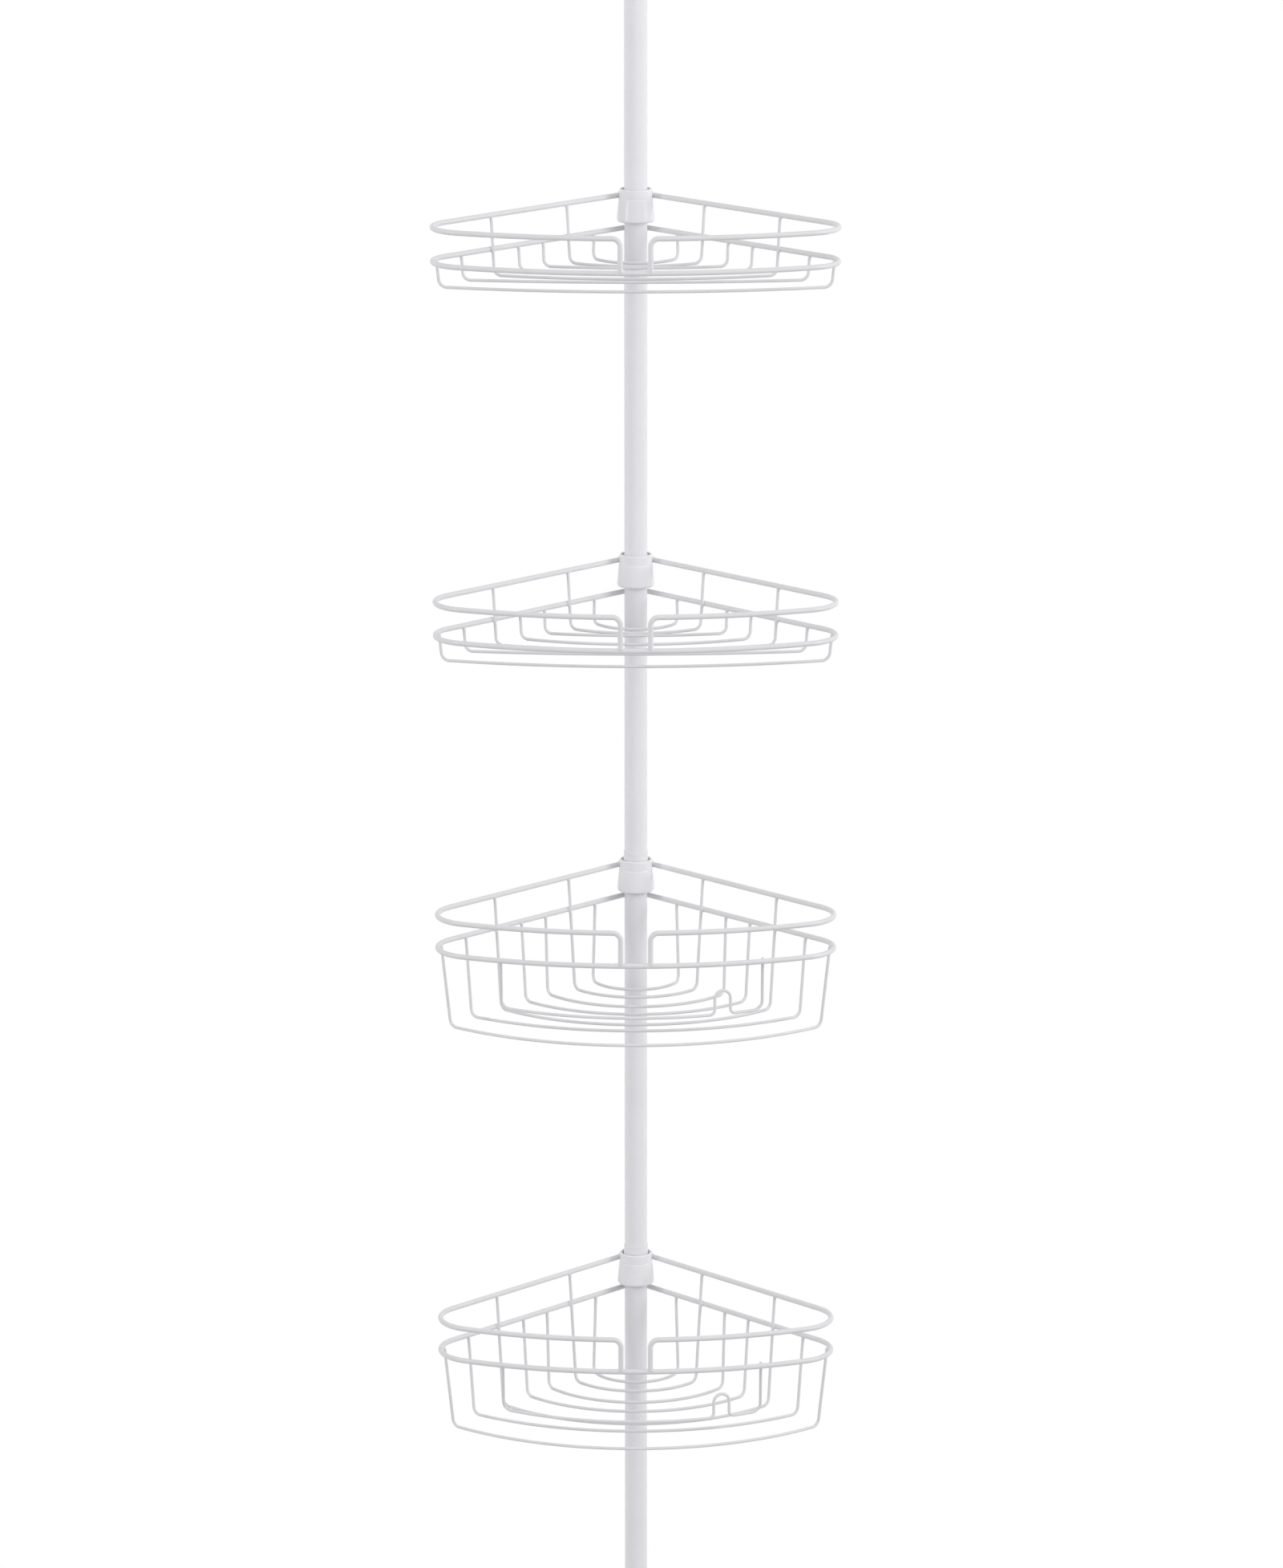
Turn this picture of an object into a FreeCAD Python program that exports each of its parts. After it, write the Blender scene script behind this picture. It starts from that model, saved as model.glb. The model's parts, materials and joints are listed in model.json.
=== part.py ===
import FreeCAD, Part
import math
import os

# Corner tension-pole shelf unit: two shallow wire trays above two deep wire baskets, each
# wedged on a spring-loaded pole that stands between floor and ceiling.
# Millimetres. Z is up along the pole and the origin is the middle of the floor foot's
# underside. The baskets reach out towards -Y, and the two walls of the corner lie behind.

Vector = FreeCAD.Vector
ORIGIN = Vector(0, 0, 0)
UP = Vector(0, 0, 1)
DOWN = Vector(0, 0, -1)

# ---- Pole ----
POLE_RADIUS = 11.1
TUBE_WALL = 0.8
POLE_BOTTOM = 8.0
LOWER_SEAM = 590.0
UPPER_SEAM = 1295.0
POLE_TOP = 1925.0
NECK_LENGTH = 40.0
NECK_CONE = 3.0
NECK_CLEARANCE = 0.1
SLIDE_FIT = 0.05

# ---- Sprung inner pole ----
INNER_RADIUS = 9.5
TOTAL_HEIGHT = 2150.0
BUSH_SPIGOT = 70.0
BUSH_FLANGE_HEIGHT = 10.0
BUSH_FLANGE_RADIUS = 12.6
BUSH_EDGE = 1.8
STOP_GAP = 0.3
PLUG_FLANGE_HEIGHT = 6.0
PLUG_SPIGOT = 20.0
SPRING_LENGTH = 150.0
SPRING_TURNS = 15
SPRING_WIRE_RADIUS = 1.0
SPRING_MEAN_RADIUS = 8.2
SEAT_HEIGHT = 8.0
SEAT_SPIGOT_RADIUS = 6.6
SEAT_SPIGOT_HEIGHT = 12.0

# ---- Rubber feet ----
FOOT_RADIUS = 24.0
FOOT_RIM_HEIGHT = 5.0
FOOT_PAD_RISE = 2.0
FOOT_EDGE = 1.5
FOOT_FLARE = 8.0
FOOT_HEIGHT = 34.0
FOOT_SLEEVE_WALL = 3.2
FOOT_GROOVE_RADII = (9.0, 13.5, 18.0)
FOOT_GROOVE_WIDTH = 2.0
FOOT_GROOVE_DEPTH = 1.0

# ---- Baskets: wire sizes, and the plan that every rim follows ----
RIM_WIRE_RADIUS = 2.5
THIN_WIRE_RADIUS = 1.45
CORNER_DISTANCE = 24.0
FRONT_REACH = 247.0
FRONT_ARC_RADIUS = 430.0
TIP_RADIUS = 38.0
RIM_SPACING = 32.0
POST_HALF_GAP = 14.0
POST_BEND = 7.5
WELD_DEPTH = 0.3

# ---- Collar and split wedge clip ----
COLLAR_HEIGHT = 31.5
COLLAR_ABOVE_RIM = 7.7
COLLAR_BAND_HEIGHT = 9.5
COLLAR_BAND_RADIUS = 15.8
COLLAR_BAND_EDGE = 1.1
COLLAR_STEP = 0.5
COLLAR_STEP_EDGE = 0.35
COLLAR_SKIRT_RADIUS = 18.3
COLLAR_SKIRT_EDGE = 2.4
COLLAR_MOUTH_RADIUS = 13.9
COLLAR_MOUTH_DEPTH = 4.5
COLLAR_MOUTH_EDGE = 0.4
BOSS_RADIUS = 3.9
BOSS_REACH = 14.9
CLIP_LENGTH = 30.0
CLIP_LIP = 4.0
CLIP_LIP_RADIUS = 11.65
CLIP_EDGE = 0.35
CLIP_BOTTOM_RADIUS = 14.2
CLIP_SPLIT = 1.2
WEDGE_FIT = 0.06

# ---- Floor wires: where the seven uprights stand, and how they lean ----
UPRIGHT_X = (40.5, 65.8, 87.8, 110.6, 135.7, 162.8)
LONG_WIRES = (2, 5)
SHORT_WIRE_LEAN = {1: 0.0, 3: 0.03, 4: 0.07, 6: 0.095}
FIRST_WIRE_SPREAD = 0.04
TIP_WIRE_LEAN = 0.105
FLOOR_BEND = 7.0
WELD_OFFSET = 1.3
WELD_BURIAL = 1.0

# ---- Front wire of the deep baskets, with the notch that a razor hangs in ----
FRONT_WIRE_DROP = 52.5
FRONT_WIRE_SETBACK = 6.0
FRONT_WIRE_RADIUS = 235.0
FRONT_WIRE_BEND = 9.0
FRONT_WIRE_LEFT = -127.0
FRONT_WIRE_RIGHT = 119.5
FRONT_WIRE_RIGHT_RISE = 1.9
NOTCH_CENTRE = 82.0
NOTCH_HALF_WIDTH = 7.4
NOTCH_HEIGHT = 23.0
NOTCH_BEND = 5.0

# ---- The four tiers: height of the upper rim, depth of the floor below the lower rim, how
# far the clip stands above its collar, and how far forward each floor wire reaches ----
TRAY_REACH = (48.0, 66.0, 75.5, 113.0, 137.0, 154.5, 206.5)
BASKET_REACH = (52.0, 79.0, 112.0, 138.5, 174.5, 195.5, 245.0)
TIERS = (
    ("upper_tray", 1658.0, 24.0, -0.5, TRAY_REACH),
    ("lower_tray", 1304.0, 24.0, -0.5, TRAY_REACH),
    ("upper_basket", 1001.0, 78.0, 8.0, BASKET_REACH),
    ("lower_basket", 600.0, 78.0, 8.0, BASKET_REACH),
)

# ---- Worked out from the driving dimensions ----
POLE_BORE = POLE_RADIUS - TUBE_WALL
INNER_BORE = INNER_RADIUS - TUBE_WALL
STOP_Z = POLE_TOP - BUSH_SPIGOT
PLUG_TOP = STOP_Z - STOP_GAP
SPRING_TOP = PLUG_TOP - PLUG_FLANGE_HEIGHT
SPRING_BOTTOM = SPRING_TOP - SPRING_LENGTH
CORNER_BEND_RADIUS = CORNER_DISTANCE / math.sqrt(2)
CLIP_TAPER = (CLIP_BOTTOM_RADIUS - CLIP_LIP_RADIUS) / (CLIP_LENGTH - CLIP_LIP)
CROSSING_OFFSET = RIM_WIRE_RADIUS + THIN_WIRE_RADIUS - WELD_DEPTH
LONG_WIRE_LEAN = (CROSSING_OFFSET - WELD_OFFSET) / (RIM_SPACING - WELD_BURIAL)
RIGHT_LEG = Vector(1, -1, 0).normalize()
LEFT_LEG = Vector(-1, -1, 0).normalize()


# ---- Building blocks ----
def save(name, shape):
    """Writes one sub-part to its own STEP file."""
    shape.exportStep("parts/" + name + ".step")


def line(start, end):
    return Part.LineSegment(start, end).toShape()


def arc(start, middle, end):
    return Part.Arc(start, middle, end).toShape()


def arc_about(centre, start, end):
    """The short arc about centre from start to end."""
    radius = (start - centre).Length
    halfway = (start + end - centre * 2).normalize()
    return arc(start, centre + halfway * radius, end)


def other_side(point):
    """The same point on the other side of the basket."""
    return Vector(-point.x, point.y, point.z)


def bend(corner, arriving, leaving, tangent):
    """Start, middle and end of the arc that rounds a corner of a wire.

    arriving and leaving are unit directions of travel, and tangent is the length of each
    straight run that the arc takes away.
    """
    turn = arriving.getAngle(leaving)
    radius = tangent / math.tan(turn / 2)
    inward = (leaving - arriving).normalize()
    centre = corner + inward * (radius / math.cos(turn / 2))
    start = corner - arriving * tangent
    end = corner + leaving * tangent
    return start, centre - inward * radius, end


def revolved(points):
    """Turns a closed outline about the pole's axis.

    A point is (radius, height), or (radius, height, rounding) where its corner is rounded.
    """
    corners = [Vector(point[0], 0, point[1]) for point in points]
    following = corners[1:] + corners[:1]
    runs = [(there - here).normalize() for here, there in zip(corners, following)]
    arcs = []
    for index, point in enumerate(points):
        rounding = point[2] if len(point) == 3 else 0.0
        arriving, leaving = runs[index - 1], runs[index]
        tangent = rounding * math.tan(arriving.getAngle(leaving) / 2)
        arcs.append(bend(corners[index], arriving, leaving, tangent))
    edges = []
    for (start, middle, end), (next_start, _, _) in zip(arcs, arcs[1:] + arcs[:1]):
        if start != end:
            edges.append(arc(start, middle, end))
        edges.append(line(end, next_start))
    return Part.Face(Part.Wire(edges)).revolve(ORIGIN, UP, 360)


def bow_corner(x, centre, radius, tangent):
    """A corner at x, outside the bow about centre by a run of the tangent's length."""
    distance = math.hypot(radius, tangent)
    return Vector(x, centre.y - math.sqrt(distance ** 2 - x ** 2), centre.z)


def bow_touch(corner, centre, tangent, side):
    """Where a run from corner touches the bow about centre: side is 1 for right, -1 left."""
    away = corner - centre
    radius = math.sqrt(away.Length ** 2 - tangent ** 2)
    angle = math.atan2(away.y, away.x) + side * math.atan2(tangent, radius)
    return centre + Vector(radius * math.cos(angle), radius * math.sin(angle), 0)


def wire_along(edges, radius, direction):
    """A round wire along connected edges, the first of which sets off in direction."""
    start = edges[0].Vertexes[0].Point
    section = Part.Face(Part.Wire(Part.makeCircle(radius, start, direction)))
    return Part.Wire(edges).makePipe(section)


def dome(end, outward):
    """The rounded end of a thin wire."""
    return Part.makeSphere(THIN_WIRE_RADIUS, end, outward, 0, 90, 360)


# ---- Pole ----
def pole_tube(bottom, top):
    """A plain length of the outer pole."""
    return revolved([
        (POLE_RADIUS, bottom),
        (POLE_RADIUS, top),
        (POLE_BORE, top),
        (POLE_BORE, bottom),
    ])


def necked_tube(bottom, top):
    """A length of the outer pole whose end is drawn in to a neck for the next length."""
    neck_radius = POLE_BORE - NECK_CLEARANCE
    neck_bore = neck_radius - TUBE_WALL
    return revolved([
        (POLE_RADIUS, bottom),
        (POLE_RADIUS, top),
        (neck_radius, top),
        (neck_radius, top + NECK_LENGTH),
        (neck_bore, top + NECK_LENGTH),
        (neck_bore, top - NECK_CONE),
        (POLE_BORE, top - 2 * NECK_CONE),
        (POLE_BORE, bottom),
    ])


def foot(bore_radius):
    """Rubber foot for a tube end: a flared pad with grip grooves under a sleeve."""
    sleeve = bore_radius + FOOT_SLEEVE_WALL
    body = revolved([
        (0, 0),
        (FOOT_RADIUS, 0, FOOT_EDGE),
        (FOOT_RADIUS, FOOT_RIM_HEIGHT, FOOT_EDGE),
        (sleeve, FOOT_RIM_HEIGHT + FOOT_PAD_RISE, FOOT_FLARE),
        (sleeve, FOOT_HEIGHT, FOOT_EDGE),
        (bore_radius, FOOT_HEIGHT),
        (bore_radius, POLE_BOTTOM),
        (0, POLE_BOTTOM),
    ])
    for radius in FOOT_GROOVE_RADII:
        outer = Part.makeCylinder(radius + FOOT_GROOVE_WIDTH, FOOT_GROOVE_DEPTH)
        inner = Part.makeCylinder(radius, FOOT_GROOVE_DEPTH)
        body = body.cut(outer.cut(inner))
    return body


def pole_bush():
    """Plastic bush in the top of the outer pole, which guides the inner pole."""
    bore = INNER_RADIUS + SLIDE_FIT
    top = POLE_TOP + BUSH_FLANGE_HEIGHT
    return revolved([
        (bore, STOP_Z),
        (POLE_BORE, STOP_Z),
        (POLE_BORE, POLE_TOP),
        (BUSH_FLANGE_RADIUS, POLE_TOP),
        (BUSH_FLANGE_RADIUS, top, BUSH_EDGE),
        (bore, top),
    ])


def inner_pole():
    """The thinner tube that the spring pushes out of the outer pole."""
    top = TOTAL_HEIGHT - POLE_BOTTOM
    return revolved([
        (INNER_BORE, PLUG_TOP),
        (INNER_RADIUS, PLUG_TOP),
        (INNER_RADIUS, top),
        (INNER_BORE, top),
    ])


def inner_pole_plug():
    """Plug in the inner pole's lower end: the spring bears on its flange."""
    flange = POLE_BORE - SLIDE_FIT
    return revolved([
        (0, SPRING_TOP),
        (flange, SPRING_TOP),
        (flange, PLUG_TOP),
        (INNER_BORE, PLUG_TOP),
        (INNER_BORE, PLUG_TOP + PLUG_SPIGOT),
        (0, PLUG_TOP + PLUG_SPIGOT),
    ])


def spring_seat():
    """Plug crimped in the outer pole, with a spigot that keeps the spring central."""
    return revolved([
        (0, SPRING_BOTTOM - SEAT_HEIGHT),
        (POLE_BORE, SPRING_BOTTOM - SEAT_HEIGHT),
        (POLE_BORE, SPRING_BOTTOM),
        (SEAT_SPIGOT_RADIUS, SPRING_BOTTOM),
        (SEAT_SPIGOT_RADIUS, SPRING_BOTTOM + SEAT_SPIGOT_HEIGHT),
        (0, SPRING_BOTTOM + SEAT_SPIGOT_HEIGHT),
    ])


def spring():
    """Compression spring between the seat and the inner pole's plug."""
    coil_length = SPRING_LENGTH - 2 * SPRING_WIRE_RADIUS
    pitch = coil_length / SPRING_TURNS
    start = Vector(SPRING_MEAN_RADIUS, 0, SPRING_BOTTOM + SPRING_WIRE_RADIUS)
    helix = Part.makeHelix(pitch, coil_length, SPRING_MEAN_RADIUS)
    helix.translate(Vector(0, 0, start.z))
    climb = Vector(0, 2 * math.pi * SPRING_MEAN_RADIUS, pitch)
    section = Part.Wire(Part.makeCircle(SPRING_WIRE_RADIUS, start, climb))
    return Part.Wire(helix.Edges).makePipeShell([section], True, True)


# ---- Collar and clip ----
def clip_radius(below_clip_top):
    """Outside radius of the clip's wedge at a depth below the clip's top."""
    return CLIP_LIP_RADIUS + CLIP_TAPER * (below_clip_top - CLIP_LIP)


def clip_halves(top):
    """Front and back halves of the clip: a straight lip above the wedge in the collar."""
    bore = POLE_RADIUS + SLIDE_FIT
    bottom = top - CLIP_LENGTH
    wedge = revolved([
        (bore, bottom),
        (CLIP_BOTTOM_RADIUS, bottom, CLIP_EDGE),
        (CLIP_LIP_RADIUS, top - CLIP_LIP),
        (CLIP_LIP_RADIUS, top, CLIP_EDGE),
        (bore, top),
    ])
    reach = CLIP_BOTTOM_RADIUS + 1.0
    corner = Vector(-reach, CLIP_SPLIT / 2, bottom)
    behind = Part.makeBox(2 * reach, reach, CLIP_LENGTH, corner)
    ahead = behind.mirror(ORIGIN, Vector(0, 1, 0))
    return wedge.common(ahead), wedge.common(behind)


def rim_corner(height):
    """Start, middle and end of the rim's bend round the pole, from left to right."""
    corner = Vector(0, CORNER_DISTANCE, height)
    return bend(corner, -LEFT_LEG, RIGHT_LEG, CORNER_BEND_RADIUS)


def leg_point(x, height):
    """Centre of the rim wire's right leg at a distance x from the middle."""
    return Vector(x, CORNER_DISTANCE - x, height)


def rim_bend_path(reach, height):
    """The rim's bend behind the pole, with both legs as far out as reach."""
    start, middle, end = rim_corner(height)
    leg_end = leg_point(reach, height)
    return [line(other_side(leg_end), start), arc(start, middle, end), line(end, leg_end)]


def collar(rim_z, clip_top):
    """Moulded collar: a band above a flared skirt, with a boss moulded round the rim's bend."""
    top = rim_z + COLLAR_ABOVE_RIM
    bottom = top - COLLAR_HEIGHT
    mouth = top - COLLAR_MOUTH_DEPTH
    band_bottom = top - COLLAR_BAND_HEIGHT
    wedge_mouth = clip_radius(clip_top - mouth) + WEDGE_FIT
    wedge_bottom = clip_radius(clip_top - bottom) + WEDGE_FIT
    moulding = revolved([
        (wedge_bottom, bottom),
        (wedge_mouth, mouth),
        (COLLAR_MOUTH_RADIUS, mouth),
        (COLLAR_MOUTH_RADIUS, top, COLLAR_MOUTH_EDGE),
        (COLLAR_BAND_RADIUS, top, COLLAR_BAND_EDGE),
        (COLLAR_BAND_RADIUS, band_bottom, COLLAR_STEP_EDGE),
        (COLLAR_BAND_RADIUS + COLLAR_STEP, band_bottom - COLLAR_STEP, COLLAR_STEP_EDGE),
        (COLLAR_SKIRT_RADIUS, bottom, COLLAR_SKIRT_EDGE),
    ])
    passage = Part.makeCylinder(wedge_bottom, COLLAR_HEIGHT, Vector(0, 0, bottom))
    boss = wire_along(rim_bend_path(BOSS_REACH, rim_z), BOSS_RADIUS, -LEFT_LEG)
    channel_path = rim_bend_path(BOSS_REACH + BOSS_RADIUS, rim_z)
    channel = wire_along(channel_path, RIM_WIRE_RADIUS, -LEFT_LEG)
    return moulding.fuse(boss.cut(passage)).cut(channel).removeSplitter()


# ---- Rims ----
def bow_centre(height):
    """Centre of the rim's bowed front."""
    return Vector(0, FRONT_ARC_RADIUS - FRONT_REACH, height)


def tip_centre(height):
    """Centre of the rounded right-hand tip, which touches the leg and the bowed front."""
    inset = TIP_RADIUS / math.sqrt(2)
    # Along the leg to x = s, the centre is at (s - inset, CORNER_DISTANCE - s - inset), and
    # it lies FRONT_ARC_RADIUS - TIP_RADIUS from the bow's centre: a quadratic in s.
    behind = CORNER_DISTANCE - inset - bow_centre(height).y
    half_sum = (inset + behind) / 2
    product = inset ** 2 + behind ** 2 - (FRONT_ARC_RADIUS - TIP_RADIUS) ** 2
    s = half_sum + math.sqrt(half_sum ** 2 - product / 2)
    return Vector(s - inset, CORNER_DISTANCE - s - inset, height)


def tip_ends(height):
    """Where the right-hand tip meets the leg, and where it meets the bowed front."""
    centre = tip_centre(height)
    forward = (centre - bow_centre(height)).normalize()
    return centre - LEFT_LEG * TIP_RADIUS, centre + forward * TIP_RADIUS


def lower_rim(height):
    """Closed rim wire: a right angle behind the pole, rounded tips and a bowed front."""
    start, middle, end = rim_corner(height)
    on_leg, on_bow = tip_ends(height)
    centre = tip_centre(height)
    edges = [
        arc(start, middle, end),
        line(end, on_leg),
        arc_about(centre, on_leg, on_bow),
        arc_about(bow_centre(height), on_bow, other_side(on_bow)),
        arc_about(other_side(centre), other_side(on_bow), other_side(on_leg)),
        line(other_side(on_leg), start),
    ]
    return wire_along(edges, RIM_WIRE_RADIUS, -LEFT_LEG)


def guard_rail(height):
    """Upper rim wire, open at the front, where each end turns down into a post."""
    start, middle, end = rim_corner(height)
    on_leg, on_bow = tip_ends(height)
    centre = tip_centre(height)
    front = bow_centre(height)
    shoulder = bow_corner(POST_HALF_GAP, front, FRONT_ARC_RADIUS, POST_BEND)
    touch = bow_touch(shoulder, front, POST_BEND, 1)
    outward = (touch - shoulder).normalize()
    bend_start, bend_middle, bend_end = bend(shoulder, UP, outward, POST_BEND)
    drop = RIM_SPACING - RIM_WIRE_RADIUS + WELD_DEPTH
    foot_end = shoulder + DOWN * drop
    edges = [
        line(foot_end, bend_start),
        arc(bend_start, bend_middle, bend_end),
        arc_about(front, bend_end, on_bow),
        arc_about(centre, on_bow, on_leg),
        line(on_leg, end),
        arc(end, middle, start),
        line(start, other_side(on_leg)),
        arc_about(other_side(centre), other_side(on_leg), other_side(on_bow)),
        arc_about(front, other_side(on_bow), other_side(bend_end)),
        arc(other_side(bend_end), other_side(bend_middle), other_side(bend_start)),
        line(other_side(bend_start), other_side(foot_end)),
    ]
    return wire_along(edges, RIM_WIRE_RADIUS, UP)


# ---- Floor wires ----
def floor_wire(top, corner, reach):
    """A U of thin wire: down from top, round corner, bowed forward to reach, and back up."""
    sag = corner.y + reach
    radius = (corner.x ** 2 + sag ** 2 - FLOOR_BEND ** 2) / (2 * sag)
    centre = Vector(0, radius - reach, corner.z)
    touch = bow_touch(corner, centre, FLOOR_BEND, 1)
    down = (corner - top).normalize()
    forward = (touch - corner).normalize()
    start, middle, end = bend(corner, down, forward, FLOOR_BEND)
    edges = [
        line(top, start),
        arc(start, middle, end),
        arc_about(centre, end, other_side(end)),
        arc(other_side(end), other_side(middle), other_side(start)),
        line(other_side(start), other_side(top)),
    ]
    return wire_along(edges, THIN_WIRE_RADIUS, down)


def leg_floor_wire(number, upper_z, floor_drop, reach):
    """One of the six floor wires that hang from the rim's straight legs."""
    floor_z = upper_z - RIM_SPACING - floor_drop
    if number in LONG_WIRES:
        top_z = upper_z - WELD_BURIAL
        lean = LONG_WIRE_LEAN
    else:
        top_z = upper_z - RIM_SPACING - WELD_BURIAL
        lean = SHORT_WIRE_LEAN[number]
    length = top_z - floor_z
    spread = FIRST_WIRE_SPREAD * length if number == 1 else 0.0
    weld = other_side(leg_point(UPRIGHT_X[number - 1], top_z)) + RIGHT_LEG * WELD_OFFSET
    corner = weld + RIGHT_LEG * (lean * length) + LEFT_LEG * spread + DOWN * length
    return floor_wire(weld, corner, reach)


def tip_floor_wire(upper_z, floor_drop, reach):
    """The outermost floor wire: its domed ends are welded inside the rounded tips."""
    inner_x = tip_centre(0).x + TIP_RADIUS - CROSSING_OFFSET
    weld = Vector(-inner_x, tip_centre(0).y, upper_z - RIM_SPACING)
    corner = weld + Vector(TIP_WIRE_LEAN, 0, -1) * floor_drop
    up = (weld - corner).normalize()
    wire = floor_wire(weld, corner, reach)
    return wire.fuse([dome(weld, up), dome(other_side(weld), other_side(up))])


# ---- Front wire ----
def front_wire(rim_z):
    """Thin wire across the front of a deep basket, raised into a notch near its right.

    Both ends are domed, and the right one shows above the rim.
    """
    level = rim_z - FRONT_WIRE_DROP
    centre = Vector(0, FRONT_WIRE_RADIUS + FRONT_WIRE_SETBACK - FRONT_REACH, level)
    inner_bow = FRONT_ARC_RADIUS - CROSSING_OFFSET
    left_top = bow_corner(FRONT_WIRE_LEFT, bow_centre(rim_z), inner_bow, 0)
    right_top = bow_corner(FRONT_WIRE_RIGHT, bow_centre(rim_z), inner_bow, 0)
    right_top += UP * FRONT_WIRE_RIGHT_RISE

    def corner_at(x, tangent, side):
        corner = bow_corner(x, centre, FRONT_WIRE_RADIUS, tangent)
        touch = bow_touch(corner, centre, tangent, side)
        return corner, touch, (touch - corner).normalize()

    left, left_touch, left_out = corner_at(FRONT_WIRE_LEFT, FRONT_WIRE_BEND, 1)
    right, right_touch, right_out = corner_at(FRONT_WIRE_RIGHT, FRONT_WIRE_BEND, -1)
    near, near_touch, near_out = corner_at(NOTCH_CENTRE - NOTCH_HALF_WIDTH, NOTCH_BEND, -1)
    far, far_touch, far_out = corner_at(NOTCH_CENTRE + NOTCH_HALF_WIDTH, NOTCH_BEND, 1)
    down_left = (left - left_top).normalize()
    up_right = (right_top - right).normalize()
    left_bend = bend(left, down_left, left_out, FRONT_WIRE_BEND)
    right_bend = bend(right, -right_out, up_right, FRONT_WIRE_BEND)
    near_bend = bend(near, -near_out, UP, NOTCH_BEND)
    far_bend = bend(far, DOWN, far_out, NOTCH_BEND)
    crown_radius = (far - near).Length / 2
    shoulder_rise = UP * (NOTCH_HEIGHT - crown_radius)
    crown = (near + far) * 0.5 + UP * NOTCH_HEIGHT
    edges = [
        line(left_top, left_bend[0]),
        arc(*left_bend),
        arc_about(centre, left_touch, near_touch),
        arc(*near_bend),
        line(near_bend[2], near + shoulder_rise),
        arc(near + shoulder_rise, crown, far + shoulder_rise),
        line(far + shoulder_rise, far_bend[0]),
        arc(*far_bend),
        arc_about(centre, far_touch, right_touch),
        arc(*right_bend),
        line(right_bend[2], right_top),
    ]
    wire = wire_along(edges, THIN_WIRE_RADIUS, down_left)
    return wire.fuse([dome(left_top, -down_left), dome(right_top, up_right)])


# ---- Assembly ----
def save_pole():
    """The pole's lengths, its sprung top and its two feet."""
    save("floor_foot", foot(POLE_RADIUS))
    save("pole_lower", necked_tube(POLE_BOTTOM, LOWER_SEAM))
    save("pole_middle", necked_tube(LOWER_SEAM, UPPER_SEAM))
    save("pole_upper", pole_tube(UPPER_SEAM, POLE_TOP))
    save("pole_bush", pole_bush())
    save("spring_seat", spring_seat())
    save("spring", spring())
    save("inner_pole_plug", inner_pole_plug())
    save("inner_pole", inner_pole())
    ceiling_foot = foot(INNER_RADIUS)
    ceiling_foot.rotate(ORIGIN, Vector(1, 0, 0), 180)
    ceiling_foot.translate(UP * TOTAL_HEIGHT)
    save("ceiling_foot", ceiling_foot)


def save_tier(tier, rim_z, floor_drop, clip_above_collar, reaches):
    """One basket: its clip and collar, both rims and all of its wires."""
    clip_top = rim_z + COLLAR_ABOVE_RIM + clip_above_collar
    clip_front, clip_back = clip_halves(clip_top)
    save(tier + "_clip_front", clip_front)
    save(tier + "_clip_back", clip_back)
    save(tier + "_collar", collar(rim_z, clip_top))
    save(tier + "_guard_rail", guard_rail(rim_z))
    save(tier + "_rim", lower_rim(rim_z - RIM_SPACING))
    for number in range(1, len(reaches)):
        wire = leg_floor_wire(number, rim_z, floor_drop, reaches[number - 1])
        save(tier + "_wire_" + str(number), wire)
    save(tier + "_wire_" + str(len(reaches)), tip_floor_wire(rim_z, floor_drop, reaches[-1]))
    if floor_drop > FRONT_WIRE_DROP:
        save(tier + "_front_wire", front_wire(rim_z - RIM_SPACING))


os.makedirs("parts", exist_ok=True)
save_pole()
for tier in TIERS:
    save_tier(*tier)
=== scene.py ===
import json
import math
import random

import bmesh
import bpy
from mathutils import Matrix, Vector


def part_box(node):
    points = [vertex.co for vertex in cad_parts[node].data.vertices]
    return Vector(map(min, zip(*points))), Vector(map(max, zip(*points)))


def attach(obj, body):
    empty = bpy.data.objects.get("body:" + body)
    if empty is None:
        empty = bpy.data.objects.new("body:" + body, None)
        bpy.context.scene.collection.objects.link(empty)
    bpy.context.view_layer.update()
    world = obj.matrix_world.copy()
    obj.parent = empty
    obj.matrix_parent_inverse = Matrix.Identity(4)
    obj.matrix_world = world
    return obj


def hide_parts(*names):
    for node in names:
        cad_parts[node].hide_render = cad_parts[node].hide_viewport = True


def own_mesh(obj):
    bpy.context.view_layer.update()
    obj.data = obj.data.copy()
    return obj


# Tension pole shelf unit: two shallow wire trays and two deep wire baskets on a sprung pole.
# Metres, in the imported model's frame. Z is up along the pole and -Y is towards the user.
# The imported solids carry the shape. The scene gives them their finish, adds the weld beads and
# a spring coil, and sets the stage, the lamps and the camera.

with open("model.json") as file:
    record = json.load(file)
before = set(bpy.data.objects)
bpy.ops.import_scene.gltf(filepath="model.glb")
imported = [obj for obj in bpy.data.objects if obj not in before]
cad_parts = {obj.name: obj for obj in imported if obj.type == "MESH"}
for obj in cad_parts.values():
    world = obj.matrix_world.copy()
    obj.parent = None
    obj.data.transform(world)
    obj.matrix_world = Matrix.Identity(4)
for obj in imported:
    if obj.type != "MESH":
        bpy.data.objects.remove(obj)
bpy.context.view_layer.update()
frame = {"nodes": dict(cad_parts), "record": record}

MM = 0.001
WHITE = (1.0, 1.0, 1.0, 1.0)


# ---- Camera ----
# The photo joins two shots from different heights, and this camera is fitted to all four tiers.
# The focal length is in the photo's pixels, and the sensor's width is in millimetres.
CAMERA_PLACE = (0.0055, -6.2446, 2.6454)
CAMERA_TILT = math.radians(14.0436)
FOCAL_PIXELS = 8276.8
PHOTO_WIDTH = 1600
SENSOR_WIDTH = 36.0
FARTHEST_SEEN = 100.0


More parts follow.
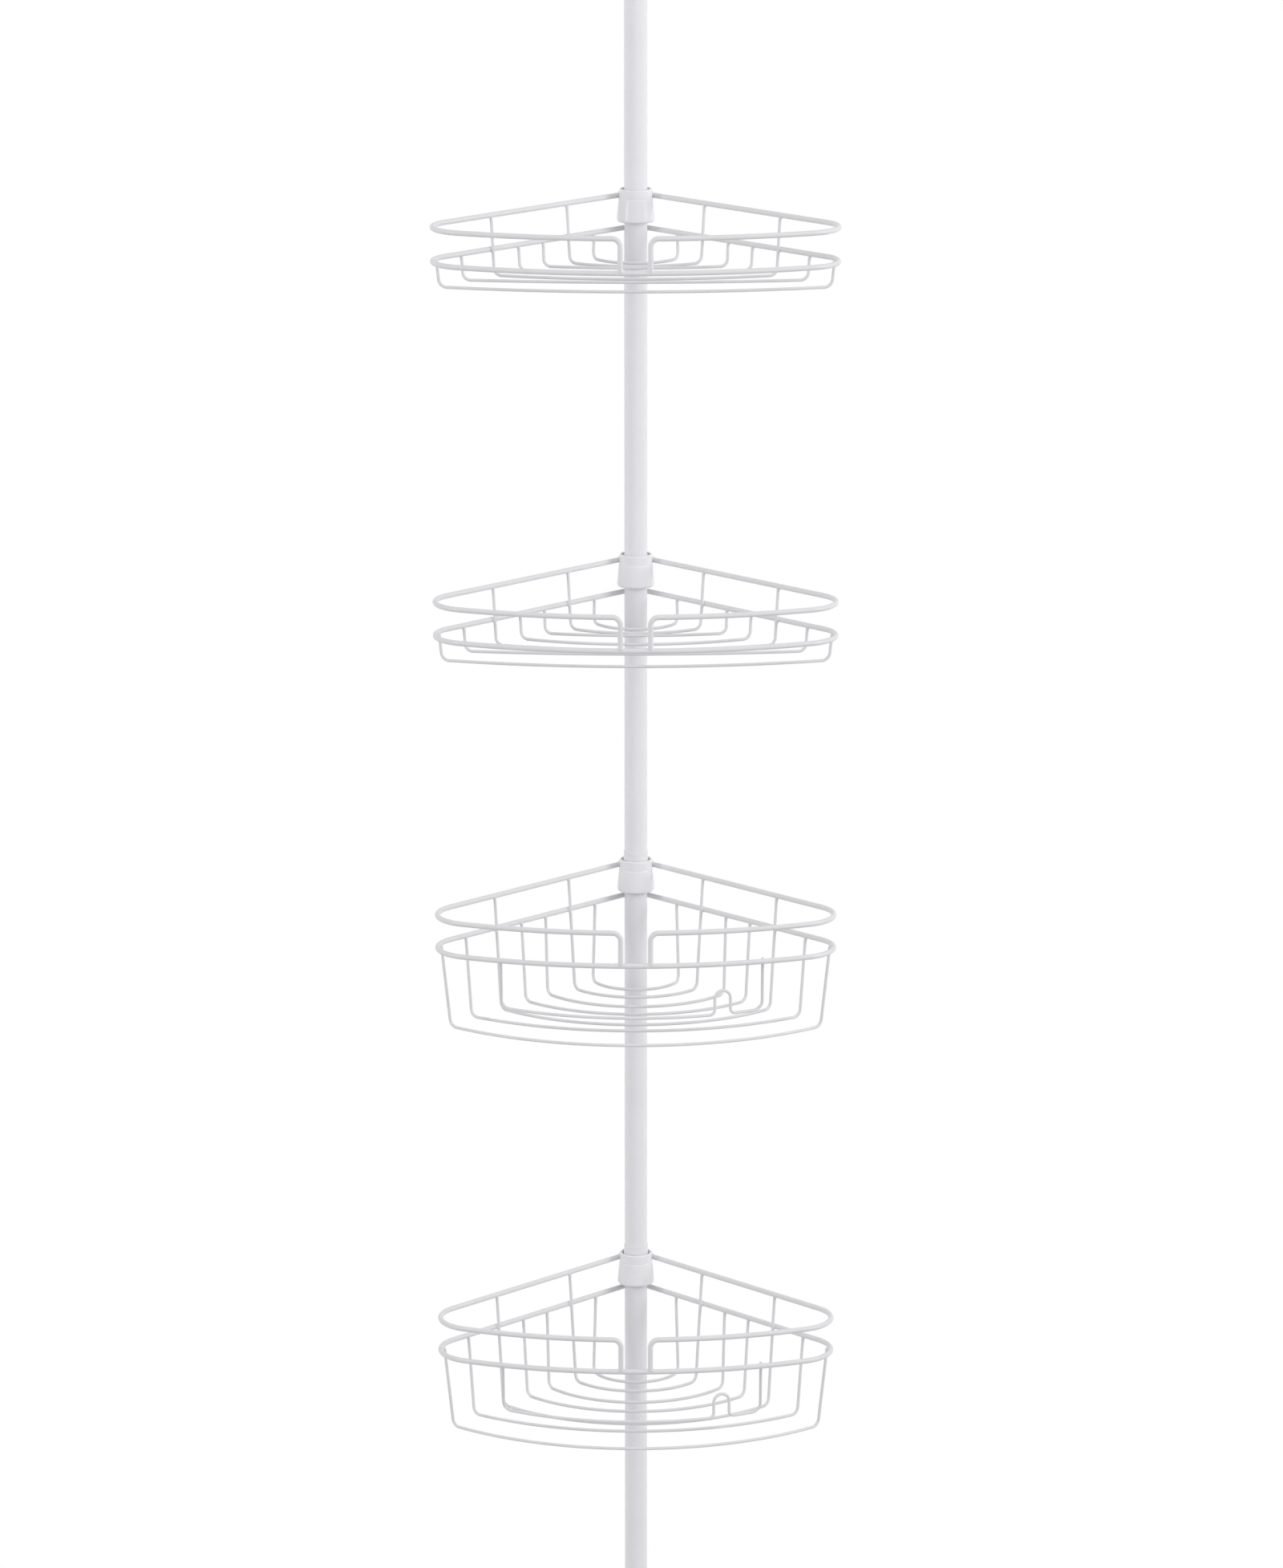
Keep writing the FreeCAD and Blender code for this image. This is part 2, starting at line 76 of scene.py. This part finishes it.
def add_camera():
    """The one camera: level from side to side, tilted down, with a long lens."""
    data = bpy.data.cameras.new("camera")
    data.sensor_fit = "HORIZONTAL"
    data.sensor_width = SENSOR_WIDTH
    data.lens = FOCAL_PIXELS / PHOTO_WIDTH * SENSOR_WIDTH
    data.clip_end = FARTHEST_SEEN
    camera = bpy.data.objects.new("camera", data)
    camera.location = CAMERA_PLACE
    camera.rotation_euler = (math.pi / 2 - CAMERA_TILT, 0.0, 0.0)
    bpy.context.scene.collection.objects.link(camera)
    bpy.context.scene.camera = camera


# ---- Node building ----
def new_material(name):
    """A node material, with its node tree and its Principled shader."""
    material = bpy.data.materials.new(name)
    material.use_nodes = True
    tree = material.node_tree
    return material, tree, tree.nodes["Principled BSDF"]


def feed(tree, value, socket):
    """Links an input to another node's output, or sets it to a number."""
    if isinstance(value, bpy.types.NodeSocket):
        tree.links.new(value, socket)
    else:
        socket.default_value = value


def noise(tree, scale, detail):
    """A noise texture in the object's own space, so that it rides with every pose."""
    place = tree.nodes.new("ShaderNodeTexCoord")
    texture = tree.nodes.new("ShaderNodeTexNoise")
    texture.inputs["Scale"].default_value = scale
    texture.inputs["Detail"].default_value = detail
    tree.links.new(place.outputs["Object"], texture.inputs["Vector"])
    return texture.outputs["Fac"]


def spread(tree, value, span, result):
    """Maps a value from one span to another, and holds it at the ends beyond them."""
    node = tree.nodes.new("ShaderNodeMapRange")
    tree.links.new(value, node.inputs["Value"])
    node.inputs["From Min"].default_value, node.inputs["From Max"].default_value = span
    node.inputs["To Min"].default_value, node.inputs["To Max"].default_value = result
    return node.outputs["Result"]


def blend_colours(tree, factor, first, second):
    """Mixes two colours: the first at factor 0, and the second at 1."""
    node = tree.nodes.new("ShaderNodeMix")
    node.data_type = "RGBA"
    tree.links.new(factor, node.inputs["Factor"])
    node.inputs["A"].default_value = (*first, 1.0)
    node.inputs["B"].default_value = (*second, 1.0)
    return node.outputs["Result"]


def blend_values(tree, factor, first, second):
    """Mixes two values, each a number or an output: the first at factor 0, the second at 1."""
    node = tree.nodes.new("ShaderNodeMix")
    tree.links.new(factor, node.inputs["Factor"])
    feed(tree, first, node.inputs["A"])
    feed(tree, second, node.inputs["B"])
    return node.outputs["Result"]


def bump(tree, height, depth, under=None):
    """A bump of that depth in metres, on top of an earlier one if there is one."""
    node = tree.nodes.new("ShaderNodeBump")
    node.inputs["Distance"].default_value = depth
    tree.links.new(height, node.inputs["Height"])
    if under is not None:
        tree.links.new(under, node.inputs["Normal"])
    return node.outputs["Normal"]


# ---- Surfaces ----
# A pattern is a noise's scale, per metre, and its detail. A pair of factors says how far the
# sheen takes the roughness from its mean. COAT_WAVE_TO_PEEL and PLASTIC_SINK_TO_GRAIN are how
# many times deeper the coarse relief is than the fine one.
SHEEN_SPAN = (0.3, 0.7)

COAT_MOTTLE = (38.0, 3.0)
COAT_MOTTLE_SPAN = (0.35, 0.65)
COAT_SHEEN = (120.0, 4.0)
COAT_SHEEN_FACTORS = (0.85, 1.2)
COAT_WAVES = (90.0, 1.0)
COAT_WAVE_TO_PEEL = 4
COAT_PEEL_DETAIL = 2.0
COAT_SPECULAR = 0.35

PLASTIC_FLOW = (22.0, 2.0)
PLASTIC_FLOW_SPAN = (0.3, 0.7)
PLASTIC_SHEEN = (260.0, 4.0)
PLASTIC_SHEEN_FACTORS = (0.85, 1.25)
PLASTIC_SINKS = (60.0, 1.0)
PLASTIC_SINK_TO_GRAIN = 5
PLASTIC_GRAIN = (1800.0, 2.0)


def add_colour(tree, shader, shades, pattern, span):
    """Lets the colour drift between two shades, over that span of a noise."""
    drift = spread(tree, noise(tree, *pattern), span, (0.0, 1.0))
    tree.links.new(blend_colours(tree, drift, *shades), shader.inputs["Base Color"])


def add_sheen(tree, shader, roughness, pattern, factors):
    """Makes the gloss uneven, by a noise between two factors of the roughness."""
    limits = [roughness * factor for factor in factors]
    uneven = spread(tree, noise(tree, *pattern), SHEEN_SPAN, limits)
    tree.links.new(uneven, shader.inputs["Roughness"])


def add_relief(tree, shader, coarse, coarse_depth, fine, fine_depth):
    """Lays a fine bump over a coarse one."""
    under = bump(tree, noise(tree, *coarse), coarse_depth)
    over = bump(tree, noise(tree, *fine), fine_depth, under)
    tree.links.new(over, shader.inputs["Normal"])


def coated_metal(name, shades, roughness, peel_scale, peel_depth):
    """Baked powder coat: mottled a little, with orange peel and uneven gloss."""
    material, tree, shader = new_material(name)
    add_colour(tree, shader, shades, COAT_MOTTLE, COAT_MOTTLE_SPAN)
    add_sheen(tree, shader, roughness, COAT_SHEEN, COAT_SHEEN_FACTORS)
    peel = (peel_scale, COAT_PEEL_DETAIL)
    add_relief(tree, shader, COAT_WAVES, peel_depth * COAT_WAVE_TO_PEEL, peel, peel_depth)
    shader.inputs["Specular IOR Level"].default_value = COAT_SPECULAR
    return material


def moulded_plastic(name, shades, roughness, grain_depth):
    """Injection-moulded plastic: faint flow and sink marks under a fine grain."""
    material, tree, shader = new_material(name)
    add_colour(tree, shader, shades, PLASTIC_FLOW, PLASTIC_FLOW_SPAN)
    add_sheen(tree, shader, roughness, PLASTIC_SHEEN, PLASTIC_SHEEN_FACTORS)
    sink_depth = grain_depth * PLASTIC_SINK_TO_GRAIN
    add_relief(tree, shader, PLASTIC_SINKS, sink_depth, PLASTIC_GRAIN, grain_depth)
    return material


# ---- Materials ----
# The light and the dark shade of each finish.
WHITE_COAT = ((0.803, 0.799, 0.821), (0.783, 0.779, 0.801))
POLE_COAT = ((0.882, 0.873, 0.914), (0.868, 0.859, 0.90))
GLOSS_WHITE = ((0.888, 0.883, 0.912), (0.872, 0.867, 0.897))
SATIN_WHITE = ((0.86, 0.853, 0.875), (0.84, 0.833, 0.855))
FOOT_GREY = ((0.70, 0.70, 0.69), (0.64, 0.64, 0.63))
SPRING_GREY = ((0.55, 0.55, 0.57), (0.48, 0.48, 0.50))

# By slot: the look's name, its shades and roughness, and the orange peel's scale and depth.
COATS = {
    "rim_coat": ("rim_look", WHITE_COAT, 0.34, 1100.0, 6e-6),
    "wire_coat": ("wire_look", WHITE_COAT, 0.36, 1300.0, 5e-6),
    "pole_coat": ("pole_look", POLE_COAT, 0.15, 800.0, 1.5e-6),
    "inner_pole_coat": ("inner_pole_look", POLE_COAT, 0.15, 800.0, 1.5e-6),
    "spring_steel": ("spring_look", SPRING_GREY, 0.32, 900.0, 3e-6),
}
# By slot: the look's name, its shades and roughness, and the grain's depth.
PLASTICS = {
    "collar_plastic": ("collar_look", GLOSS_WHITE, 0.20, 2e-6),
    "clip_plastic": ("clip_look", SATIN_WHITE, 0.38, 4e-6),
    "bush_plastic": ("bush_look", SATIN_WHITE, 0.38, 4e-6),
    "foot_rubber": ("rubber_look", FOOT_GREY, 0.62, 1.2e-5),
}


def build_materials():
    """One material for each of the record's slots. The spring alone is bare metal."""
    made = {slot: coated_metal(*look) for slot, look in COATS.items()}
    made.update({slot: moulded_plastic(*look) for slot, look in PLASTICS.items()})
    steel = made["spring_steel"].node_tree.nodes["Principled BSDF"]
    steel.inputs["Metallic"].default_value = 1.0
    return made


def dress_nodes(materials):
    """Gives every CAD node the material of its slot."""
    for subpart in frame["record"]["subparts"]:
        mesh = frame["nodes"][subpart["node"]].data
        mesh.materials.clear()
        mesh.materials.append(materials[subpart["material_slot"]])


# ---- Mesh building ----
# The scene's own pieces are worked out in millimetres.
def add_ring(mesh, centre, first, second, sides):
    """A loop of points on an ellipse with those two half axes."""
    loop = []
    for side in range(sides):
        angle = 2 * math.pi * side / sides
        point = centre + first * math.cos(angle) + second * math.sin(angle)
        loop.append(mesh.verts.new(point * MM))
    return loop


def add_skin(mesh, loops):
    """Joins loops of points into a closed skin, capped at both ends."""
    sides = len(loops[0])
    for first, second in zip(loops, loops[1:]):
        for side in range(sides):
            after = (side + 1) % sides
            mesh.faces.new((first[side], first[after], second[after], second[side]))
    mesh.faces.new(loops[0])
    mesh.faces.new(loops[-1])


def add_piece(mesh, name, material, body):
    """Turns a mesh into a smooth piece of that material that moves with a CAD body."""
    bmesh.ops.recalc_face_normals(mesh, faces=mesh.faces)
    data = bpy.data.meshes.new(name)
    mesh.to_mesh(data)
    mesh.free()
    data.shade_smooth()
    data.materials.append(material)
    piece = bpy.data.objects.new(name, data)
    bpy.context.scene.collection.objects.link(piece)
    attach(piece, body)
    return piece


# ---- Weld beads ----
# Where the thin wires and the posts are welded to the rims, the coat has filled the joints.
# The wires stand where the CAD has them. RIM_WIRE and THIN_WIRE are the wires' radii.
TIERS = ("upper_tray", "lower_tray", "upper_basket", "lower_basket")
RIM_WIRE = 2.5
THIN_WIRE = 1.45

# The rim's plan: two straight legs, whose lines cross CORNER_DISTANCE behind the pole's axis, two
# rounded tips and a bowed front.
CORNER_DISTANCE = 24.0
BOW_CENTRE_Y = 183.0
BOW_RADIUS = 430.0
TIP_RADIUS = 38.0

# A thin wire that ends at the rim starts WELD_OFFSET inside the rim's axis and WELD_BURIAL below
# it. One that passes the rim sinks into its side by WELD_DEPTH.
WELD_OFFSET = 1.3
WELD_BURIAL = 1.0
WELD_DEPTH = 0.3
CROSSING_OFFSET = RIM_WIRE + THIN_WIRE - WELD_DEPTH

# The six wires on each leg, from the pole outwards. The long ones reach the guard rail, and the
# first also spreads along the leg. A lean is sideways travel for each millimetre down.
UPRIGHT_X = (40.5, 65.8, 87.8, 110.6, 135.7, 162.8)
WIRE_LEAN = (0.0, 0.0758, 0.03, 0.07, 0.0758, 0.095)
LONG_WIRES = (2, 5)
FIRST_WIRE_SPREAD = 0.04
TIP_WIRE_LEAN = 0.105

# The guard rail's posts sink into the rim by WELD_DEPTH too, and so end POST_FOOT above its axis.
# Their beads start POST_EMBED lower.
POST_X = 14.0
POST_FOOT = RIM_WIRE - WELD_DEPTH
POST_EMBED = 1.2

# The front wire's two ends: their x, how far they rise above the rim's axis, and their lean.
FRONT_WIRE_ENDS = ((-127.0, 0.0, 0.382), (119.5, 1.9, 0.326))

# A bead runs out along its wire, and there it is BEAD_SUNK under the wire's surface.
BEAD_SIDES = 24
BEAD_RINGS = 8
BEAD_SUNK = 0.03
BUTT_LENGTH = 3.8
CROSSING_LENGTH = 3.4
END_CAP = 1.3

# How far a bead swells along the rim and across it, and how far it leans to the rim's axis. Each
# bead differs from these by up to the share BEAD_VARIATION.
BUTT_SWELL = (1.2, 0.2, 0.8)
CROSSING_SWELL = (1.0, 0.25, 1.2)
POST_SWELL = (1.6, 0.15, 0.0)
BEAD_VARIATION = 0.2


# A profile lists a bead's rings: how far along the wire each is, how full, and its share of the
# whole width, which only a domed end cuts down.
def butt_profile():
    """Rings along a wire that ends at a rim: full there, and run out further along."""
    steps = [ring / (BEAD_RINGS - 1) for ring in range(BEAD_RINGS)]
    return [(step * BUTT_LENGTH, (1 - step) ** 2, 1.0) for step in steps]


def crossing_profile(above):
    """Rings along a wire that passes a rim: full beside it, and run out above and below."""
    steps = [2 * ring / BEAD_RINGS - 1 for ring in range(BEAD_RINGS + 1)]
    return [
        (step * (above if step < 0 else CROSSING_LENGTH), (1 - step ** 2) ** 2, 1.0)
        for step in steps
    ]


def end_profile():
    """Rings over a wire's domed end beside a rim: a dome above it, and run out below."""
    steps = [ring / (BEAD_RINGS - 1) for ring in range(BEAD_RINGS)]
    dome = [(-END_CAP * math.sqrt(1 - step ** 2), 1.0, step) for step in steps[1:-1]]
    return dome + [(step * CROSSING_LENGTH, (1 - step ** 2) ** 2, 1.0) for step in steps]


def add_bead(mesh, dice, base, down, inward, wire, swell, profile):
    """A bead round a wire: ellipses, widest along the rim, joined into a closed skin.

    base is on the wire's axis, down runs along the wire and inward points away from the rim.
    """
    along = down.cross(inward).normalized()
    across = along.cross(down).normalized()
    swell_along, swell_across, shift = (
        amount * dice.uniform(1 - BEAD_VARIATION, 1 + BEAD_VARIATION) for amount in swell
    )
    loops = []
    for distance, fullness, width in profile:
        centre = base + down.normalized() * distance - across * (shift * fullness)
        half_along = (wire - BEAD_SUNK + swell_along * fullness) * width
        half_across = (wire - BEAD_SUNK + swell_across * fullness) * width
        loops.append(add_ring(mesh, centre, along * half_along, across * half_across, BEAD_SIDES))
    add_skin(mesh, loops)


def add_leg_beads(mesh, dice, side, guard_z, rim_z):
    """Beads of the six wires on one of the rim's straight legs: side is 1 for right, -1 left."""
    along = Vector((side, -1, 0)).normalized()
    inward = Vector((-side, -1, 0)).normalized()
    for number, (x, lean) in enumerate(zip(UPRIGHT_X, WIRE_LEAN), 1):
        down = Vector((0, 0, -1)) + inward * lean
        if number == 1:
            down += along * FIRST_WIRE_SPREAD
        on_leg = Vector((side * x, CORNER_DISTANCE - x, rim_z))
        if number in LONG_WIRES:
            crossing = on_leg + inward * CROSSING_OFFSET
            rings = crossing_profile(CROSSING_LENGTH)
            add_bead(mesh, dice, crossing, down, inward, THIN_WIRE, CROSSING_SWELL, rings)
            on_leg.z = guard_z
        top = on_leg + inward * WELD_OFFSET + Vector((0, 0, -WELD_BURIAL))
        add_bead(mesh, dice, top, down, inward, THIN_WIRE, BUTT_SWELL, butt_profile())


def add_tip_bead(mesh, dice, side, tip_x, rim_z):
    """Bead of the outermost floor wire, inside the rounded tip whose centre is at tip_x."""
    tip_y = CORNER_DISTANCE - tip_x - TIP_RADIUS * math.sqrt(2)
    inward = Vector((-side, 0, 0))
    wire_x = side * (tip_x + TIP_RADIUS - CROSSING_OFFSET)
    down = Vector((-side * TIP_WIRE_LEAN, 0, -1))
    top = Vector((wire_x, tip_y, rim_z))
    add_bead(mesh, dice, top, down, inward, THIN_WIRE, CROSSING_SWELL, end_profile())


def add_front_beads(mesh, dice, deep, rim_z):
    """Beads of the two posts, and of the front wire's ends on a deep basket."""
    up, back = Vector((0, 0, 1)), Vector((0, 1, 0))
    for x in (-POST_X, POST_X):
        y = BOW_CENTRE_Y - math.sqrt(BOW_RADIUS ** 2 - x ** 2)
        foot = Vector((x, y, rim_z + POST_FOOT - POST_EMBED))
        add_bead(mesh, dice, foot, up, back, RIM_WIRE, POST_SWELL, butt_profile())
    if not deep:
        return
    radius = BOW_RADIUS - CROSSING_OFFSET
    for x, rise, lean in FRONT_WIRE_ENDS:
        y = BOW_CENTRE_Y - math.sqrt(radius ** 2 - x ** 2)
        inward = Vector((-x, BOW_CENTRE_Y - y, 0)).normalized()
        down = Vector((0, lean, -1))
        crossing = Vector((x, y + rise * lean, rim_z))
        rings = crossing_profile(rise) if rise else end_profile()
        add_bead(mesh, dice, crossing, down, inward, THIN_WIRE, CROSSING_SWELL, rings)


def add_beads(material):
    """One mesh of beads for each tier, moving with its basket."""
    for seed, tier in enumerate(TIERS):
        dice = random.Random(seed)
        rim_high = Vector(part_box(tier + "_rim")[1]) / MM
        guard_high = Vector(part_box(tier + "_guard_rail")[1]) / MM
        rim_z = rim_high.z - RIM_WIRE
        guard_z = guard_high.z - RIM_WIRE
        tip_x = rim_high.x - RIM_WIRE - TIP_RADIUS
        mesh = bmesh.new()
        for side in (-1, 1):
            add_leg_beads(mesh, dice, side, guard_z, rim_z)
            add_tip_bead(mesh, dice, side, tip_x, rim_z)
        add_front_beads(mesh, dice, tier.endswith("basket"), rim_z)
        add_piece(mesh, tier + "_beads", material, tier)


# ---- Spring ----
# The imported spring is rigid. A coil of the same size stands in its place. SPRING_WIRE is the
# wire's radius, and a turn has SPRING_STEPS rings.
SPRING_TURNS = 15
SPRING_WIRE = 1.0
SPRING_SIDES = 12
SPRING_STEPS = 40


def add_spring(material):
    """The coil between the spring seat and the inner pole's plug."""
    low, high = (Vector(corner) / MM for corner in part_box("spring"))
    radius = high.x - SPRING_WIRE
    bottom = low.z + SPRING_WIRE
    climb = high.z - low.z - 2 * SPRING_WIRE
    whole_angle = 2 * math.pi * SPRING_TURNS
    steps = SPRING_TURNS * SPRING_STEPS
    mesh = bmesh.new()
    loops = []
    for step in range(steps + 1):
        share = step / steps
        angle = whole_angle * share
        outward = Vector((math.cos(angle), math.sin(angle), 0))
        centre = outward * radius + Vector((0, 0, bottom + climb * share))
        ahead = Vector((-outward.y, outward.x, 0)) * (radius * whole_angle)
        ahead.z = climb
        across = ahead.normalized().cross(outward)
        half_axes = (outward * SPRING_WIRE, across * SPRING_WIRE)
        loops.append(add_ring(mesh, centre, *half_axes, SPRING_SIDES))
    add_skin(mesh, loops)
    coil = add_piece(mesh, "spring_coil", material, "pole")
    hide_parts("spring")
    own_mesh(coil)


# ---- Stage ----
# The floor lights the unit from below as one of FLOOR_GREY would. The camera sees FLOOR_SHADE,
# for shadows to show on: FLOOR_LIGHT is how bright the lamps make it, and a glow of its own fills
# it up to white. Between the two distances of FLOOR_FADE it turns into plain white.
FLOOR_SIZE = 60.0
FLOOR_DROP = 0.0005
FLOOR_ROUGHNESS = 0.9
FLOOR_GREY = 0.56
FLOOR_SHADE = 0.55
FLOOR_LIGHT = 0.95
FLOOR_FADE = (0.30, 0.72)

# The surroundings' light on the unit: from the horizon and below, and from straight above.
AMBIENT_LEVEL = 0.90
AMBIENT_ABOVE = 0.48

# By name: the lamp's place, the point that it faces, its width and height, and its watts.
LAMPS = {
    "key": ((3.6, -1.4, 2.6), (0.0, 0.0, 2.3), (1.8, 1.8), 62.0),
    "fill": ((-3.1, -2.0, 2.4), (0.0, 0.0, 2.1), (0.7, 1.8), 30.0),
    "top": ((0.4, -1.6, 4.4), (0.0, -0.1, 1.4), (2.6, 2.6), 4.0),
}


def studio_rays(tree):
    """1 for camera, glossy and transmission rays, and 0 for the rays that light the object."""
    path = tree.nodes.new("ShaderNodeLightPath")
    total = path.outputs["Is Camera Ray"]
    for name in ("Is Glossy Ray", "Is Transmission Ray"):
        node = tree.nodes.new("ShaderNodeMath")
        node.operation = "MAXIMUM"
        tree.links.new(total, node.inputs[0])
        tree.links.new(path.outputs[name], node.inputs[1])
        total = node.outputs["Value"]
    return total


def floor_material():
    """White with a soft shadow near the foot, fading to pure white further out."""
    material, tree, shader = new_material("floor")
    shader.inputs["Roughness"].default_value = FLOOR_ROUGHNESS
    shader.inputs["Specular IOR Level"].default_value = 0.0
    shader.inputs["Emission Color"].default_value = WHITE
    place = tree.nodes.new("ShaderNodeTexCoord")
    distance = tree.nodes.new("ShaderNodeVectorMath")
    distance.operation = "LENGTH"
    tree.links.new(place.outputs["Object"], distance.inputs[0])
    away = distance.outputs["Value"]
    seen = studio_rays(tree)
    shade = spread(tree, away, FLOOR_FADE, (FLOOR_SHADE, 0.0))
    tree.links.new(blend_values(tree, seen, FLOOR_GREY, shade), shader.inputs["Base Color"])
    lift = spread(tree, away, FLOOR_FADE, (1.0 - FLOOR_SHADE * FLOOR_LIGHT, 1.0))
    tree.links.new(blend_values(tree, seen, 0.0, lift), shader.inputs["Emission Strength"])
    return material


def add_floor():
    """A pale studio floor, just under the foot."""
    half = FLOOR_SIZE / 2
    mesh = bpy.data.meshes.new("floor")
    corners = [(-half, -half, 0), (half, -half, 0), (half, half, 0), (-half, half, 0)]
    mesh.from_pydata(corners, [], [(0, 1, 2, 3)])
    mesh.materials.append(floor_material())
    floor = bpy.data.objects.new("floor", mesh)
    floor.location.z = -FLOOR_DROP
    bpy.context.scene.collection.objects.link(floor)


def add_world():
    """White for the camera and reflections, and a dimmer light on the unit, less from above."""
    world = bpy.data.worlds.new("studio")
    world.use_nodes = True
    tree = world.node_tree
    background = tree.nodes["Background"]
    background.inputs["Color"].default_value = WHITE
    place = tree.nodes.new("ShaderNodeTexCoord")
    direction = tree.nodes.new("ShaderNodeSeparateXYZ")
    tree.links.new(place.outputs["Generated"], direction.inputs["Vector"])
    light = spread(tree, direction.outputs["Z"], (0.0, 1.0), (AMBIENT_LEVEL, AMBIENT_ABOVE))
    strength = blend_values(tree, studio_rays(tree), light, 1.0)
    tree.links.new(strength, background.inputs["Strength"])
    bpy.context.scene.world = world


def add_lamps():
    """Soft studio lamps: each is a rectangle turned towards the unit."""
    for name, (place, target, size, power) in LAMPS.items():
        data = bpy.data.lights.new(name, "AREA")
        data.shape = "RECTANGLE"
        data.size, data.size_y = size
        data.energy = power
        lamp = bpy.data.objects.new(name, data)
        lamp.location = place
        aim = Vector(target) - Vector(place)
        lamp.rotation_euler = aim.to_track_quat("-Z", "Y").to_euler()
        bpy.context.scene.collection.objects.link(lamp)


# ---- Build ----
add_camera()
add_world()
add_lamps()
add_floor()
materials = build_materials()
dress_nodes(materials)
add_beads(materials["wire_coat"])
add_spring(materials["spring_steel"])
bpy.context.scene.view_settings.view_transform = "Standard"
